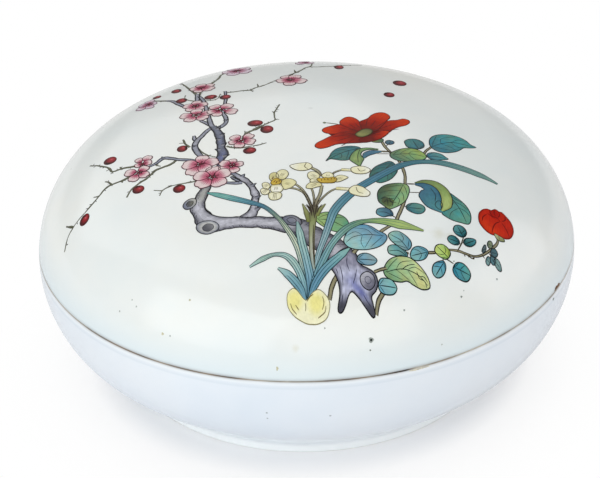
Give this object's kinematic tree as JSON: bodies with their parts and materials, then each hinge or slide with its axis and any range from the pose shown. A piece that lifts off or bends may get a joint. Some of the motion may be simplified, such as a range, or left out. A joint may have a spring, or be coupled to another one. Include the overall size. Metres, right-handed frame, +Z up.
{
  "type": "seal paste box",
  "caption": "Round glazed porcelain box on a foot ring, with a domed lift-off lid painted with traditional flowers, holding a cake of vermilion seal paste.",
  "frame": {"origin": "centre of the foot ring's ground face, on the surface the box stands on", "axes": "+Z up along the box's axis of revolution; -Y is the front, towards the viewer of the painting on the lid; +X to the viewer's right"},
  "size_m": [0.13, 0.13, 0.0627],
  "materials": {
    "base_glaze": "glossy bluish-white glaze, bare porcelain on the ground band, the ledge and the lip's top edge",
    "lid_glaze": "glossy white glaze with overglaze enamel painting, bare porcelain on the rim",
    "cinnabar_paste": "oily vermilion paste of ground mineral, oil and plant floss"
  },
  "bodies": {
    "bowl": {"base": "base_glaze", "seal_paste": "cinnabar_paste"},
    "cover": {"lid": "lid_glaze"}
  },
  "joints": [
    {"name": "lid_lift", "type": "slide", "parent": "bowl", "child": "cover", "axis": [0, 0, 1], "range_m": [0, 0.1]}
  ]
}
